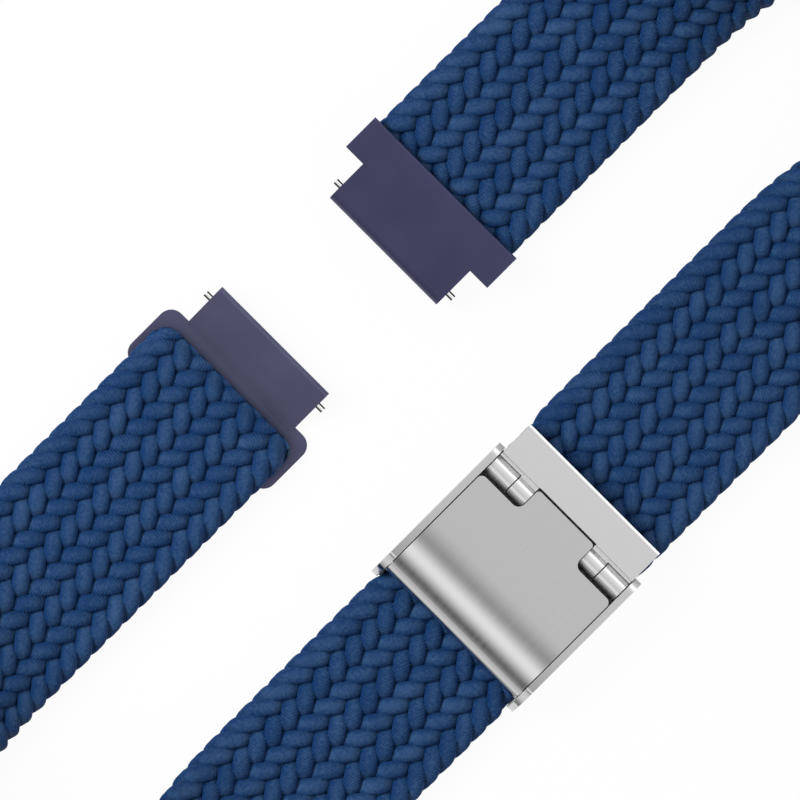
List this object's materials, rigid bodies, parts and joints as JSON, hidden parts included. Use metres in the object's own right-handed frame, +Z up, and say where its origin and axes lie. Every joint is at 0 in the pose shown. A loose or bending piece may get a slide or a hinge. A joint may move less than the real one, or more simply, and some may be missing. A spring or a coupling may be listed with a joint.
{
  "type": "woven nylon watch strap",
  "caption": "Flat braided nylon watch strap, closed into a loop, with a hinged clasp and spring bar connectors at both ends.",
  "frame": {"origin": "middle of the clasp frame's underside, on the surface that the strap lies on", "axes": "+X along the strap at the clasp, from its pivot to its end bar, +Y across the strap to the side of the connectors, +Z up, out of the clasp's cover"},
  "size_m": [0.1879, 0.07, 0.0243],
  "materials": {
    "woven_nylon": "braided nylon cords",
    "coated_steel": "satin coating",
    "brushed_steel": "brushed along the strap",
    "polished_steel": "polished"
  },
  "bodies": {
    "lower_half": {"lower_strap": "woven_nylon", "tail_tip": "woven_nylon", "lower_connector": "coated_steel", "lower_rivets": "polished_steel", "lower_bar_tube": "polished_steel", "lower_bar_spring": "polished_steel"},
    "lower_tip_near": {"lower_bar_tip_near": "polished_steel"},
    "lower_tip_far": {"lower_bar_tip_far": "polished_steel"},
    "clasp": {"clasp_frame": "brushed_steel", "cover_pin": "polished_steel", "hinge_pin": "polished_steel", "hinge_bushes": "polished_steel"},
    "cover": {"clasp_cover": "brushed_steel", "grip_bar": "brushed_steel", "catch_balls": "polished_steel"},
    "upper_half": {"end_bar": "brushed_steel", "end_bar_clamp": "brushed_steel", "end_bar_rivets": "polished_steel", "upper_strap": "woven_nylon", "upper_connector": "coated_steel", "upper_connector_clamp": "coated_steel", "upper_rivets": "polished_steel", "upper_bar_tube": "polished_steel", "upper_bar_spring": "polished_steel"},
    "upper_tip_near": {"upper_bar_tip_near": "polished_steel"},
    "upper_tip_far": {"upper_bar_tip_far": "polished_steel"}
  },
  "joints": [
    {"name": "clasp_slide", "type": "slide", "parent": "lower_half", "child": "clasp", "axis": [1, 0, 0], "range_m": [0, 0.008]},
    {"name": "cover_hinge", "type": "hinge", "parent": "clasp", "child": "cover", "pos_m": [-0.00935, 0, 0.00475], "axis": [0, -1, 0], "range_deg": [0, 100]},
    {"name": "end_bar_hinge", "type": "hinge", "parent": "clasp", "child": "upper_half", "pos_m": [0.0094, 0, 0.0045], "axis": [0, -1, 0], "range_deg": [0, 75]},
    {"name": "lower_tip_near_press", "type": "slide", "parent": "lower_half", "child": "lower_tip_near", "axis": [0, 1, 0], "range_m": [0, 0.001], "stiffness_N_per_m": 400, "springref_m": -0.0005, "deforming": ["lower_bar_spring"]},
    {"name": "lower_tip_far_press", "type": "slide", "parent": "lower_half", "child": "lower_tip_far", "axis": [0, -1, 0], "range_m": [0, 0.001], "stiffness_N_per_m": 400, "springref_m": -0.0005, "deforming": ["lower_bar_spring"]},
    {"name": "upper_tip_near_press", "type": "slide", "parent": "upper_half", "child": "upper_tip_near", "axis": [0, 1, 0], "range_m": [0, 0.001], "stiffness_N_per_m": 400, "springref_m": -0.0005, "deforming": ["upper_bar_spring"]},
    {"name": "upper_tip_far_press", "type": "slide", "parent": "upper_half", "child": "upper_tip_far", "axis": [0, -1, 0], "range_m": [0, 0.001], "stiffness_N_per_m": 400, "springref_m": -0.0005, "deforming": ["upper_bar_spring"]}
  ]
}
